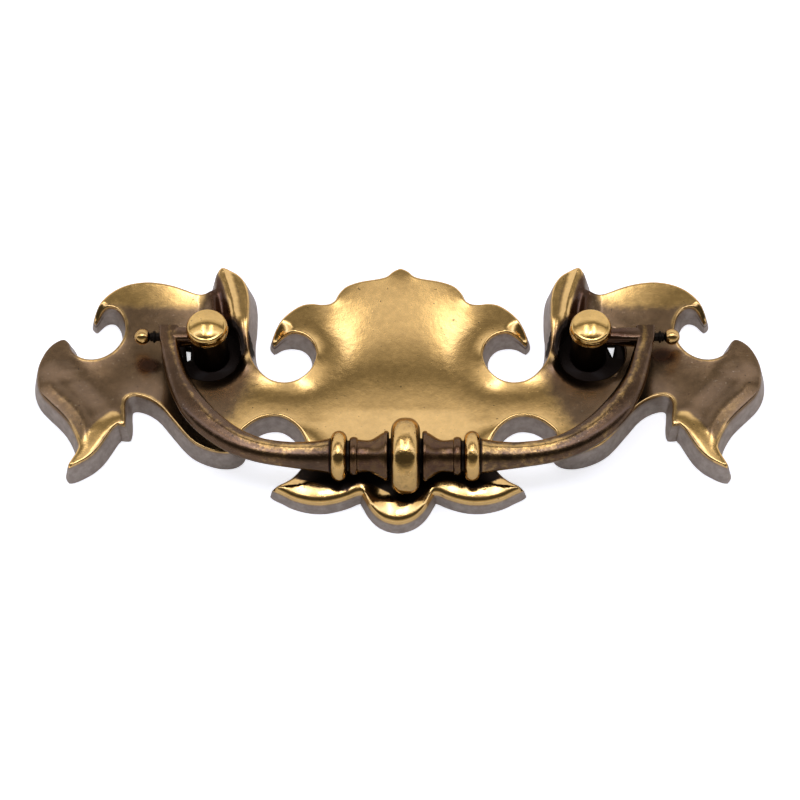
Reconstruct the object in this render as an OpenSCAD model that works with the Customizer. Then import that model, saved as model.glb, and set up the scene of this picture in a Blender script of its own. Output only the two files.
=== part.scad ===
// Bail pull for a drawer: a cast openwork backplate, two turned posts and a cast bail that swings
// in the posts. The pull lies on its back: Z = 0 is the face that meets the drawer front, the bail
// hangs towards -Y, and the origin is midway between the two screw holes.

/* [Backplate] */
// Width of the backplate over its two wings, at the front edge
plate_w = 144.8; // [138:0.2:152]
// Height of the backplate from the top point to the bottom drop, at the front edge
plate_h = 57.7; // [55:0.1:60]
// Height of the raised lip above the back, over the middle and the wings
lip_h = 5.2; // [4.9:0.1:6.2]
// How much lower the lip is round the fleur at the bottom
fleur_fall = 1.7; // [1.2:0.1:2]
// How far the prongs stand above the lip
prong_rise = 1.4; // [0.4:0.1:2.2]
// How far the lip dips at the tips of the hooks
tip_fall = 2.3; // [0:0.1:2.8]
// Radius of the rolled top of the lip
lip_r = 0.45; // [0.3:0.05:0.6]
// Draft of the outer wall, in millimetres for each millimetre of height
draft = 0.22; // [0.1:0.01:0.26]
// Depth of the dished field below the lip
dish = 1.4; // [0.8:0.1:1.6]
// Distance from the edge at which the dish is full depth
dish_run = 5; // [3:0.5:7]
// Depth of the hollow in the back
hollow_h = 2; // [1.6:0.1:2.2]
// Width of the solid border round the hollow in the back
border = 2.6; // [2:0.1:3.2]

/* [Posts] */
// Distance between the two screw holes
boring = 76.2; // [74:0.1:79]
// Diameter of the button head
head_d = 8.3; // [7.8:0.1:9]
// Height of the top of the button head above the back
head_top = 15.1; // [14.9:0.1:16]
// Height of the button head from its rim's underside to its top
head_t = 3.2; // [2.6:0.1:3.3]
// Diameter of the post's neck
neck_d = 7.2; // [6.6:0.1:7.6]
// Diameter of the foot that the plate holds down
foot_d = 14.6; // [14.2:0.1:15]
// Thickness of the foot
foot_t = 1.8; // [1.4:0.1:1.9]
// Diameter of the hole in the plate round the post
seat_d = 13.4; // [12.6:0.1:13.8]
// Distance of that hole's centre outboard of the screw hole
seat_off = 0.7; // [0.2:0.1:0.9]
// Clearance between the foot and its pocket in the plate
foot_gap = 0.06; // [0.03:0.01:0.1]
// Diameter of the tapped screw hole
screw_d = 3.5; // [3:0.1:3.8]
// Depth of the tapped screw hole
screw_l = 7; // [5:0.5:7]
// Height of the bail's pivot above the back
pivot_h = 9.6; // [9.5:0.1:9.8]

/* [Bail] */
// Distance from the pivot to the middle of the grip
drop = 27.8; // [27:0.1:29]
// Diameter of the round arms, whose ends are the pivot pins
arm_d = 3.6; // [3:0.1:3.8]
// Radial clearance of an arm in its post
pin_gap = 0.06; // [0.03:0.01:0.1]
// Distance from a post's centre to the middle of the leg at its corner
arm_l = 9.5; // [9:0.1:10.5]
// Depth that a centred arm reaches into its post
pin_l = 4.2; // [3.9:0.1:4.4]
// How far the bail has slid to the right on its pins
end_play = 1.6; // [0:0.1:1.7]
// Width of the leg at its corner
leg_top_w = 3.4; // [3:0.1:3.8]
// Width of the leg at the widest part of its bend
leg_bend_w = 5.5; // [4.6:0.1:6]
// Thickness of the leg at the widest part of its bend
leg_bend_t = 4.4; // [3.6:0.1:5]
// Diameter of the large ring at the middle of the grip
knob_d = 14.9; // [14:0.1:15.4]
// Width of the large ring
knob_w = 5.6; // [4.6:0.1:6]
// Diameter of the small ring at each end of the grip
ring_d = 9.8; // [9:0.1:10.6]
// Width of the small ring
ring_w = 3.2; // [2.6:0.1:3.6]
// Distance of the small ring's centre from the middle
ring_x = 12.9; // [12.4:0.1:14]
// Diameter of the cups on both sides of the large ring
cup_d = 9.8; // [9:0.1:10.6]
// Diameter of the thinnest part of the grip
waist_d = 6.1; // [5:0.1:6.6]
// Diameter of the bead beside the small ring
bead_d = 7.6; // [7:0.1:8.4]
// Diameter of the ball on the outside of each corner
ball_d = 3.2; // [2.6:0.1:3.6]
// Gap under the large ring where the bail lies on the plate
rest_gap = 0.3; // [0.2:0.05:0.5]

/* [Hidden] */

// Half of the front edge, from the top point round to the bottom drop. Each list is one smooth
// stretch, and the ends of the stretches are the corners of the outline.
shoulder_and_hook = [
    [0, 19.3], [1.5, 18.5], [2.8, 17.3], [4.6, 16.7], [8.2, 16], [10.9, 14.9], [12.4, 13.3],
    [13.2, 11.6], [14.3, 10.7], [16, 10.5], [17.9, 10.7], [19.8, 10.4], [21.6, 9.3],
    [23.3, 7.7], [24.6, 5.9], [25.5, 4.2], [25.8, 2.9], [25.4, 2.1]];
round_notch_and_prong = [
    [25.4, 2.1], [24.4, 3], [23.2, 3.6], [21.8, 3.9], [20.2, 3.7], [18.8, 3], [17.7, 1.9],
    [17, 0.5], [16.7, -1.1], [17, -2.8], [17.7, -4.5], [18.8, -5.9], [20.2, -7], [21.8, -7.6],
    [23.4, -7.7], [25.2, -7.3], [26.8, -6.3], [28.2, -4.8], [29.3, -3.1], [30.1, -1.1],
    [30.5, 1.2], [30.7, 3.7], [30.6, 6.2], [30.6, 8.8], [30.7, 11.2], [31.1, 13.5], [31.9, 15.3],
    [33.2, 16.9], [34.6, 17.9], [35.9, 18.4], [37, 18], [37.5, 16.8], [37.5, 15.2], [37.7, 14]];
lobe = [
    [37.7, 14], [38.7, 13.2], [40.2, 12.9], [41.9, 13.2], [44.2, 14.2], [46.6, 15.1],
    [49.3, 15.7], [52, 15.9], [54.8, 15.5], [57.3, 14.5], [59.4, 12.9], [61, 10.9], [62, 9.1],
    [62.3, 7.8], [61.9, 7.2]];
wing = [
    [61.9, 7.2], [61.3, 8.2], [60.5, 9.2], [59.4, 9.8], [58.1, 9.7], [57, 8.9], [56.1, 7.5],
    [55.6, 5.8], [55.5, 4], [56, 2], [57, 0.2], [58.4, -1.2], [60.1, -2.1], [61.9, -2.4],
    [63.7, -2.1], [65.2, -1.2], [66.2, 0], [66.8, 1.4], [67.6, 2.2], [68.9, 1.8], [70.3, 0.6],
    [71.4, -1.2], [72.2, -3.6], [72.4, -6.3], [72, -8.8], [70.9, -11], [69.2, -12.9],
    [67.2, -14.9], [65.4, -17], [64, -19.4], [63.2, -21.4], [63, -22.5]];
toe_outside = [[63, -22.5], [63.4, -23.8], [64.1, -25.2], [64.7, -26.5], [64.5, -27.1]];
toe_inside = [
    [64.5, -27.1], [62.8, -26.2], [61.1, -25.1], [59.6, -23.6], [58.5, -21.9], [57.5, -20],
    [56.6, -18.4], [55.6, -17.4]];
step = [[55.6, -17.4], [54.2, -17.7]];
arch_and_tail = [
    [54.2, -17.7], [54.3, -15.6], [54.5, -13.5], [54.4, -11.9], [53.6, -11], [52.2, -10.8],
    [50.2, -11.4], [48.2, -12.6], [46.6, -14.1], [45.2, -15.9], [43.7, -17.8], [42.1, -19.8],
    [40.4, -21.5], [38.4, -22.7], [36.2, -23.5], [34.2, -23.8], [32.5, -23.5], [31.5, -22.5],
    [31.4, -20.8], [31.2, -19.1], [30.2, -17.9], [28.8, -16.7], [27.1, -15.8], [25.3, -15.4],
    [23.5, -15.5], [21.9, -16.2], [20.4, -17.4], [19.2, -18.9], [18.3, -20.8], [18, -22.8],
    [18.3, -24.8], [19.1, -26.6], [20.4, -28.1], [21.9, -29.2], [23.4, -30], [24.5, -31]];
leaf = [
    [24.5, -31], [22.5, -32], [20.7, -33], [18.7, -33.7], [16.6, -34.1], [14.2, -34.1],
    [11.8, -33.6], [9.6, -32.8], [8.2, -32.1], [7.1, -31.9]];
bottom_drop = [[7.1, -31.9], [6.3, -33.2], [5.3, -35.1], [3.9, -36.8], [2.2, -37.9], [0, -38.4]];

// Crest of the prong, from its tip down to where it runs into the lip of the round notch
keel_w = 2;
crest = [[35.9, 17.2], [34.6, 13], [33.6, 9], [33, 5], [32.3, 1.5], [31, -1.8]];

// Middle line of the leg, from its corner to the small ring
leg_line = [
    [47.6, -0.6], [47.2, -2.4], [46.4, -5.6], [45.3, -9.4], [43.6, -13.3], [41.2, -17.2],
    [37.9, -20.9], [33.3, -24.4], [28.3, -26.5], [22.6, -27.5], [18, -27.8], [15.2, -27.8],
    [13.5, -27.8]];

// The sizes at which the outline and the leg are drawn
drawn_top = shoulder_and_hook[0][1];
drawn_h = drawn_top - bottom_drop[len(bottom_drop) - 1][1];
drawn_w = 2 * max([for (p = wing) p[0]]);
drawn_post = 38.1;
drawn_leg = leg_line[0][0];
drawn_drop = -leg_line[len(leg_line) - 1][1];
drawn_ring = 12.9;

// The plate is drawn out in three parts, so that the metal round each post moves with its post:
// the middle, a part as drawn that reaches this far on both sides of the post, and the wing
hold = 9;
grow_y = plate_h / drawn_h;
grow_middle = (boring / 2 - hold) / (drawn_post - hold);
grow_wing = (plate_w / 2 - boring / 2 - hold) / (drawn_w / 2 - drawn_post - hold);
function place_x(x) =
    x < drawn_post - hold ? x * grow_middle
        : x < drawn_post + hold ? x - drawn_post + boring / 2
            : boring / 2 + hold + (x - drawn_post - hold) * grow_wing;
function place(p) = [place_x(p[0]), p[1] * grow_y];

half_drawn = [
    for (k = [shoulder_and_hook, round_notch_and_prong, lobe, wing, toe_outside, toe_inside, step,
            arch_and_tail, leaf, bottom_drop])
        for (i = [0:len(k) - 2]) k[i],
    bottom_drop[len(bottom_drop) - 1]];
half_edge = [for (p = half_drawn) place(p)];
last_half = len(half_edge) - 1;
edge = concat(half_edge, [for (i = [last_half - 1:-1:1]) [-half_edge[i][0], half_edge[i][1]]]);

// The direction that points into the plate at each point of the edge
function inward(before, after) = let (run = after - before) [run[1], -run[0]] / norm(run);
edge_in = [for (i = [0:len(edge) - 1])
    inward(edge[(i + len(edge) - 1) % len(edge)], edge[(i + 1) % len(edge)])];

// 0 below a, 1 above b, and a smooth change between them
function ease(a, b, v) = let (t = min(1, max(0, (v - a) / (b - a)))) t * t * (3 - 2 * t);

// Height of the lip over the back: it falls towards the outer corner of the fleur's leaf, rises
// along the prong and dips at the tips of the hooks
hook_tip = place([25.6, 2.4]);
lobe_tip = place([62.1, 7.6]);
leaf_root = place([25, -17]);
leaf_tip = place([31, -31]);
prong_root = place([34, -3]);
prong_bend = place([34, 7]);
function lip_top(p) = let (q = [abs(p[0]), p[1]])
    lip_h - fleur_fall * ease(-leaf_root[1], -leaf_tip[1], -q[1])
            * (1 - ease(leaf_root[0], leaf_tip[0], q[0]))
        + prong_rise * ease(prong_root[1], prong_bend[1], q[1])
            * (1 - ease(3, 7, abs(q[0] - prong_root[0])))
        - tip_fall * (1 - ease(0, 5, norm(q - hook_tip)))
        - tip_fall * (1 - ease(0, 4, norm(q - lobe_tip)));

// Distance of a point of the plate from the nearest point of its edge
function depth_in(p) = min([for (q = edge) norm(p - q)]);

// The dished field, which falls away from the lip
function field_top(p, d) = let (t = min(1, d / dish_run))
    lip_top(p) - lip_r - (dish - lip_r) * t * (2 - t);

// Where the hollow in the back ends, above the thin metal of the fleur
hollow_end = place([0, -22])[1];

// The field as the top of a slab on one grid, over a plain floor
grid = 2.6;
cols = ceil((plate_w / 2 + 1) / grid);
rows = ceil((plate_h + 2) / grid);
across = 2 * cols + 1;
field_y = drawn_top * grow_y + 1;
field_places = [for (j = [0:rows], i = [-cols:cols]) [i * grid, field_y - j * grid]];
field_points = concat(
    [for (p = field_places) [p[0], p[1], field_top(p, depth_in(p))]],
    [for (y = [field_y, field_y - rows * grid], x = [-cols * grid, cols * grid]) [x, y, -1]]);
corner = len(field_places);
field_faces = [
    for (j = [0:rows - 1], i = [0:across - 2]) let (a = j * across + i)
        each [[a, a + 1, a + across], [a + 1, a + across + 1, a + across]],
    for (i = [0:across - 2]) [i + 1, i, corner + (i < cols ? 0 : 1)],
    [cols, corner, corner + 1],
    for (i = [0:across - 2]) let (a = rows * across + i) [a, a + 1, corner + (i < cols ? 2 : 3)],
    [rows * across + cols, corner + 3, corner + 2],
    for (j = [0:rows - 1]) let (a = j * across) [a, a + across, corner + (j < rows / 2 ? 0 : 2)],
    [ceil(rows / 2) * across, corner + 2, corner],
    for (j = [0:rows - 1]) let (a = j * across + across - 1)
        [a + across, a, corner + (j < rows / 2 ? 1 : 3)],
    [ceil(rows / 2) * across + across - 1, corner + 1, corner + 3],
    [corner, corner + 2, corner + 3], [corner, corner + 3, corner + 1]];

// Posts
seat_x = boring / 2 + seat_off;
pocket_d = foot_d + 2 * foot_gap;
pocket_h = foot_t + foot_gap;
boss_wall = 1.05;
boss_h = 3.2;
head_rim = 0.5;
facet_d = head_d * 0.6;
neck_r = neck_d / 2;
pin_bore_r = arm_d / 2 + pin_gap;
pin_stop = 2.8;
window_x = 3.8;
window_w = 1.6;
window_y = -0.3;
window_h = 3.4;

// Bail
knob_r = knob_d / 2;
grip_floor = lip_h - fleur_fall - 0.35;
rest_tilt = asin((grip_floor + knob_r + rest_gap - pivot_h) / drop);
leg_x = boring / 2 + arm_l;
pin_end = boring / 2 + neck_r - pin_l;
corner_w = 4;
cup_w = 1.5;
cup_gap = 0.45;
bead_w = 1.9;
ball_neck_d = 1.7;
ball_x = leg_x + corner_w / 2 + 3.3;

// The drafted block of the plate: its wall leans in from the back to just over the lip and then
// stands upright
module wall_block() {
    count = len(edge);
    over = 0.1;
    foot = [for (i = [0:count - 1])
        let (p = edge[i] - draft * lip_top(edge[i]) * edge_in[i]) [p[0], p[1], 0]];
    rim = [for (i = [0:count - 1])
        let (p = edge[i] + draft * over * edge_in[i]) [p[0], p[1], lip_top(edge[i]) + over]];
    cap = [for (p = rim) [p[0], p[1], lip_h + prong_rise + 1]];
    polyhedron(
        concat(foot, rim, cap),
        [[for (i = [count - 1:-1:0]) i], [for (i = [0:count - 1]) 2 * count + i],
            for (i = [0:count - 1], k = [0, count]) let (a = k + i, b = k + (i + 1) % count)
                each [[a, b, a + count], [b, b + count, a + count]]]);
}

// The rolled lip, a ring swept along the middles of the edge's chords; the block trims the part
// that reaches outside it
module lip() {
    count = len(edge);
    section = [[-1, -2], [-1, 0], [lip_r, 0], [2.2 * lip_r, -lip_r], [2.2 * lip_r, -2]];
    points = [for (i = [0:count - 1])
        let (from = edge[i], to = edge[(i + 1) % count], mid = (from + to) / 2)
        each [for (q = section) let (p = mid + q[0] * inward(from, to))
            [p[0], p[1], lip_top(mid) + q[1]]]];
    turns = len(section);
    polyhedron(points, [
        for (i = [0:count - 1], k = [0:turns - 1]) let (
            n = (i + 1) % count, m = (k + 1) % turns,
            a = i * turns + k, b = i * turns + m, c = n * turns + k, d = n * turns + m)
            each [[a, c, b], [b, c, d]]]);
}

// The keel of each prong, one tapered stake hulled to the next down its crest
module keel_stake(p) {
    h = lip_top(p) + 0.3;
    translate([p[0], p[1], hollow_h]) cylinder(h = h - hollow_h, r1 = keel_w, r2 = 0.5, $fn = 10);
}

module keel(side) {
    stakes = [for (p = crest) let (q = place(p)) [side * q[0], q[1]]];
    for (i = [0:len(stakes) - 2]) hull() {
        keel_stake(stakes[i]);
        keel_stake(stakes[i + 1]);
    }
}

// The hollow in the back, one solid border inside the edge; the low fleur stays solid
module hollow() {
    translate([0, 0, -1]) linear_extrude(height = hollow_h + 1) difference() {
        offset(r = 1) offset(delta = -border - 1) polygon(edge);
        translate([-plate_w, hollow_end - plate_h]) square([2 * plate_w, plate_h]);
    }
}

// The ring of metal that takes a post's foot from behind
module post_boss(side) {
    translate([side * boring / 2, 0, 0])
        cylinder(h = boss_h, d = pocket_d + 2 * boss_wall, $fn = 40);
}

module post_seat(side) {
    translate([side * boring / 2, 0, -1]) cylinder(h = pocket_h + 1, d = pocket_d, $fn = 64);
    translate([side * seat_x, 0, -1]) cylinder(h = head_top, d = seat_d, $fn = 64);
}

// The casting inside the block: the dished field, the lip, the prongs and the two bosses
module backplate() {
    color("#a5803f") difference() {
        intersection() {
            wall_block();
            union() {
                difference() {
                    polyhedron(field_points, field_faces);
                    hollow();
                }
                lip();
                keel(1);
                keel(-1);
                post_boss(1);
                post_boss(-1);
            }
        }
        post_seat(1);
        post_seat(-1);
    }
}

// A turned post: foot, neck and button head with a flat facet on a low dome
module post_blank() {
    r = head_d / 2;
    under = head_top - head_t;
    dome = [for (a = [0:15:75]) [
        facet_d / 2 + (r - facet_d / 2) * cos(a),
        under + head_rim + (head_t - head_rim) * sin(a)]];
    rotate_extrude($fn = 64) polygon(concat(
        [[0, 0], [foot_d / 2, 0], [foot_d / 2, foot_t], [neck_r, foot_t], [neck_r, under],
            [r - 0.35, under], [r, under + 0.3]],
        dome,
        [[facet_d / 2, head_top], [0, head_top]]));
}

// side is 1 for the right post and -1 for the left one; the arm enters from outboard
module post(side) {
    color("#4a3a26") translate([side * boring / 2, 0, 0]) difference() {
        post_blank();
        translate([0, 0, -1]) cylinder(h = screw_l + 1, d = screw_d, $fn = 32);
        translate([0, 0, screw_l]) cylinder(h = 0.5, d1 = screw_d, d2 = 1, $fn = 32);
        translate([-side * pin_stop, 0, pivot_h])
            rotate([0, side * 90, 0]) cylinder(h = pin_stop + head_d, r = pin_bore_r, $fn = 48);
        translate([side > 0 ? window_x : -window_x - window_w, window_y, -1])
            cube([window_w, window_h, foot_t + 2]);
    }
}

module left_post() {
    post(-1);
}

module right_post() {
    post(1);
}

// Half of the grip's turned profile, as distance along the bail and radius
function bulge(x0, x1, r_edge, r_top) =
    [for (a = [0:30:180]) [
        (x0 + x1) / 2 - (x1 - x0) / 2 * cos(a), r_edge + (r_top - r_edge) * sin(a)]];

cup_x = knob_w / 2 + cup_gap;
bead_out = ring_x - ring_w / 2 - 0.15;
half_grip = concat(
    [[0, knob_r]],
    [for (a = [70:-17.5:0]) [knob_w / 2 * cos(a), knob_r - 1.6 + 1.6 * sin(a)]],
    [[knob_w / 2, waist_d / 2 + 0.4], [cup_x, waist_d / 2 + 0.4]],
    bulge(cup_x, cup_x + cup_w, cup_d / 2 - 0.7, cup_d / 2),
    [for (t = [0.2:0.2:0.8]) [
        cup_x + cup_w + t * (bead_out - bead_w - cup_x - cup_w),
        waist_d / 2 + (cup_d / 2 - 0.7 - waist_d / 2) * pow(1 - t, 3) + 0.25 * pow(t, 4)]],
    bulge(bead_out - bead_w, bead_out, bead_d / 2 - 0.6, bead_d / 2),
    [[bead_out, waist_d / 2], [ring_x - ring_w / 2, waist_d / 2]],
    bulge(ring_x - ring_w / 2, ring_x + ring_w / 2, ring_d / 2 - 0.8, ring_d / 2),
    [[ring_x + ring_w / 2, waist_d / 2 - 0.4]]);

module grip() {
    profile = concat(
        [for (i = [len(half_grip) - 1:-1:1]) [half_grip[i][1], -half_grip[i][0]]],
        [for (p = half_grip) [p[1], p[0]]],
        [[0, ring_x + ring_w / 2], [0, -ring_x - ring_w / 2]]);
    translate([0, -drop, 0]) rotate([0, 90, 0]) rotate_extrude($fn = 48) polygon(profile);
}

// Width and thickness of the leg at each knot of its middle line
leg_sizes = [
    [leg_top_w, leg_top_w], [leg_top_w + 0.2, leg_top_w], [3.9, 3.5], [4.3, 3.7],
    [0.6 * leg_bend_w + 1.7, 0.6 * leg_bend_t + 1.5], [leg_bend_w, leg_bend_t],
    [leg_bend_w, leg_bend_t], [5.2, 4.4], [4.9, 4.4], [5.1, 4.7], [5.8, 5.6], [6.7, 6.7],
    [7.3, 7.3]];
leg_knots = [for (i = [0:len(leg_line) - 1]) [
    ring_x + (leg_line[i][0] - drawn_ring) * (leg_x - ring_x) / (drawn_leg - drawn_ring),
    leg_line[i][1] * drop / drawn_drop, leg_sizes[i][0], leg_sizes[i][1]]];

// A smooth curve through the knots: one span of it, from b to c, has a and d as its neighbours
function span(a, b, c, d, t) =
    ((2 * b) + (c - a) * t + (2 * a - 5 * b + 4 * c - d) * t * t
        + (3 * b - a - 3 * c + d) * t * t * t) / 2;
function smooth(k, steps) = let (last = len(k) - 1) [
    for (i = [0:last - 1], s = [0:steps - 1])
        span(i == 0 ? 2 * k[0] - k[1] : k[i - 1], k[i], k[i + 1],
            i == last - 1 ? 2 * k[last] - k[last - 1] : k[i + 2], s / steps),
    k[last]];
leg_path = smooth(leg_knots, 2);
leg_sides = 12;
ridge = 0.07;

// One ring of the leg: an oval with a soft ridge along its front
function leg_ring(i, side) = let (
    last = len(leg_path) - 1, p = leg_path[i],
    to = leg_path[min(last, i + 1)] - leg_path[max(0, i - 1)],
    out = i == 0 ? [1, 0] : i == last ? [0, 1] : [-to[1], to[0]] / norm([to[0], to[1]])) [
    for (k = [0:leg_sides - 1]) let (
        a = side * k * 360 / leg_sides, u = p[2] / 2 * cos(a),
        v = p[3] / 2 * sin(a) * (1 + (sin(a) > 0.99 ? ridge : 0)))
        [side * (p[0] + out[0] * u), p[1] + out[1] * u, v]];

module leg(side) {
    count = len(leg_path);
    points = [for (i = [0:count - 1]) each leg_ring(i, side)];
    faces = [
        [for (k = [0:leg_sides - 1]) k],
        [for (k = [leg_sides - 1:-1:0]) (count - 1) * leg_sides + k],
        for (i = [0:count - 2], k = [0:leg_sides - 1]) let (
            a = i * leg_sides + k, b = i * leg_sides + (k + 1) % leg_sides)
            each [[a, a + leg_sides, b], [b, a + leg_sides, b + leg_sides]]];
    polyhedron(points, faces);
}

// The square corner, the arm that turns in the post, and the ball on the outside
module bail_end(side) {
    translate([side * leg_x, 0, 0]) cube([corner_w, arm_d, arm_d], center = true);
    translate([side * pin_end, 0, 0]) rotate([0, side * 90, 0])
        cylinder(h = leg_x - pin_end, d = arm_d, $fn = 48);
    translate([side * leg_x, 0, 0]) rotate([0, side * 90, 0]) {
        cylinder(h = ball_x - leg_x, d = ball_neck_d, $fn = 32);
        translate([0, 0, corner_w / 2 + 0.9]) cylinder(h = 0.5, d = ball_neck_d + 0.7, $fn = 32);
    }
    translate([side * ball_x, 0, 0]) rotate([0, 0, 90]) sphere(d = ball_d, $fn = 32);
}

module bail() {
    color("#8a6a3a") translate([end_play, 0, pivot_h]) rotate([-rest_tilt, 0, 0]) {
        grip();
        leg(1);
        leg(-1);
        bail_end(1);
        bail_end(-1);
    }
}

backplate();
left_post();
right_post();
bail();
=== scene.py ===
import math

import bmesh
import bpy
import numpy as np
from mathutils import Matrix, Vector
from mathutils.geometry import delaunay_2d_cdt


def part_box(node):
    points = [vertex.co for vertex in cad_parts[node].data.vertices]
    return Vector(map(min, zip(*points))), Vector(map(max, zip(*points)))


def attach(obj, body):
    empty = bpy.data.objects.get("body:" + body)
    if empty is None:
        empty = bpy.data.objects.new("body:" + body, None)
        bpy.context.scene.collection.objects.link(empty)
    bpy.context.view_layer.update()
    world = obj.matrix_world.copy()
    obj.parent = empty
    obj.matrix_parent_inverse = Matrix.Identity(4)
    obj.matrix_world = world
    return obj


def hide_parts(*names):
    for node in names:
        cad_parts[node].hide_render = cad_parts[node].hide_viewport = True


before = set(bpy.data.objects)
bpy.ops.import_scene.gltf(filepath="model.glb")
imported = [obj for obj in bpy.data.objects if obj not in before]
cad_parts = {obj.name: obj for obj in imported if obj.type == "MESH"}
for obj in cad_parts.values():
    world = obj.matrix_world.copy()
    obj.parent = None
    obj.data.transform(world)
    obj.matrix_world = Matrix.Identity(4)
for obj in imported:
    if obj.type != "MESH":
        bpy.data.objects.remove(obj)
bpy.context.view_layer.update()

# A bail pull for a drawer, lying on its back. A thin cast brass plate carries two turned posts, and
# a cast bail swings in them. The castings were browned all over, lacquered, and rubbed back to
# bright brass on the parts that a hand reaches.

# The photographer's camera is a long lens above the lower edge of the pull, looking 60 degrees
# down. It stands a little to the right of the middle, which shows the left walls of the openings
# and not the right ones.
aim = Vector((0.012, -0.010, 0.005))
steepness = math.radians(60)
stand_off = 0.520

lens = bpy.data.cameras.new("camera")
lens.sensor_width = 36
lens.lens = 36 * 2609 / 800
lens.shift_x = -59.2 / 800
lens.shift_y = -8.2 / 800
lens.clip_start = 0.01
camera = bpy.data.objects.new("camera", lens)
camera.location = aim - stand_off * Vector((0, math.cos(steepness), -math.sin(steepness)))
camera.rotation_euler = (math.pi / 2 - steepness, 0, 0)
bpy.context.scene.collection.objects.link(camera)
bpy.context.scene.camera = camera

# The backplate is one openwork casting in brass with a dished front, a hollow back and drafted
# walls. Its two prongs rise to a crest, its wings end in hooks and toes, and its front was buffed
# after browning.
post_x = 38.1  # from the middle to a screw hole; all sizes are in millimetres
seat_x, seat_r = 38.8, 6.7  # the round recess in the front beside each post
pocket_r, boss_r = 7.36, 8.42  # behind each post, the pocket for its foot and the ring round it
dish_deep = 1.4  # how far the web lies below the lips
bowl_y, bowl_deep, bowl_least, bowl_bend = -4.5, 1.45, 0.25, 0.0068  # the rounder dish in the middle

# Half of the front edge, clockwise from the top point; each list is one smooth sweep
shoulder_and_hook = [
    (0, 19.3), (1.5, 18.5), (2.8, 17.3), (4.6, 16.7), (8.2, 16), (10.9, 14.9), (12.4, 13.3),
    (13.2, 11.6), (14.3, 10.7), (16, 10.5), (17.9, 10.7), (19.8, 10.4), (21.6, 9.3),
    (23.3, 7.7), (24.6, 5.9), (25.5, 4.2), (25.8, 2.9), (25.4, 2.1)]
notch_and_prong = [
    (25.4, 2.1), (24.4, 3), (23.2, 3.6), (21.8, 3.9), (20.2, 3.7), (18.8, 3), (17.7, 1.9),
    (17, 0.5), (16.7, -1.1), (17, -2.8), (17.7, -4.5), (18.8, -5.9), (20.2, -7), (21.8, -7.6),
    (23.4, -7.7), (25.2, -7.3), (26.8, -6.3), (28.2, -4.8), (29.3, -3.1), (30.1, -1.1),
    (30.5, 1.2), (30.7, 3.7), (30.6, 6.2), (30.6, 8.8), (30.7, 11.2), (31.1, 13.5), (31.9, 15.3),
    (33.2, 16.9), (34.6, 17.9), (35.9, 18.4), (37, 18), (37.5, 16.8), (37.5, 15.2), (37.7, 14)]
lobe_edge = [
    (37.7, 14), (38.7, 13.2), (40.2, 12.9), (41.9, 13.2), (44.2, 14.2), (46.6, 15.1),
    (49.3, 15.7), (52, 15.9), (54.8, 15.5), (57.3, 14.5), (59.4, 12.9), (61, 10.9), (62, 9.1),
    (62.3, 7.8), (61.9, 7.2)]
wing_edge = [
    (61.9, 7.2), (61.3, 8.2), (60.5, 9.2), (59.4, 9.8), (58.1, 9.7), (57, 8.9), (56.1, 7.5),
    (55.6, 5.8), (55.5, 4), (56, 2), (57, 0.2), (58.4, -1.2), (60.1, -2.1), (61.9, -2.4),
    (63.7, -2.1), (65.2, -1.2), (66.2, 0), (66.8, 1.4), (67.6, 2.2), (68.9, 1.8), (70.3, 0.6),
    (71.4, -1.2), (72.2, -3.6), (72.4, -6.3), (72, -8.8), (70.9, -11), (69.2, -12.9),
    (67.2, -14.9), (65.4, -17), (64, -19.4), (63.2, -21.4), (63, -22.5)]
toe_edge = [(63, -22.5), (63.4, -23.8), (64.1, -25.2), (64.7, -26.5), (64.5, -27.1)]
toe_inner = [
    (64.5, -27.1), (62.8, -26.2), (61.1, -25.1), (59.6, -23.6), (58.5, -21.9), (57.5, -20),
    (56.6, -18.4), (55.6, -17.4)]
step_edge = [(55.6, -17.4), (54.2, -17.7)]
arch_and_tail = [
    (54.2, -17.7), (54.3, -15.6), (54.5, -13.5), (54.4, -11.9), (53.6, -11), (52.2, -10.8),
    (50.2, -11.4), (48.2, -12.6), (46.6, -14.1), (45.2, -15.9), (43.7, -17.8), (42.1, -19.8),
    (40.4, -21.5), (38.4, -22.7), (36.2, -23.5), (34.2, -23.8), (32.5, -23.5), (31.5, -22.5),
    (31.4, -20.8), (31.2, -19.1), (30.2, -17.9), (28.8, -16.7), (27.1, -15.8), (25.3, -15.4),
    (23.5, -15.5), (21.9, -16.2), (20.4, -17.4), (19.2, -18.9), (18.3, -20.8), (18, -22.8),
    (18.3, -24.8), (19.1, -26.6), (20.4, -28.1), (21.9, -29.2), (23.4, -30), (24.5, -31)]
leaf_edge = [
    (24.5, -31), (22.5, -32), (20.7, -33), (18.7, -33.7), (16.6, -34.1), (14.2, -34.1),
    (11.8, -33.6), (9.6, -32.8), (8.2, -32.1), (7.1, -31.9)]
drop_edge = [(7.1, -31.9), (6.3, -33.2), (5.3, -35.1), (3.9, -36.8), (2.2, -37.9), (0, -38.4)]


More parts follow.
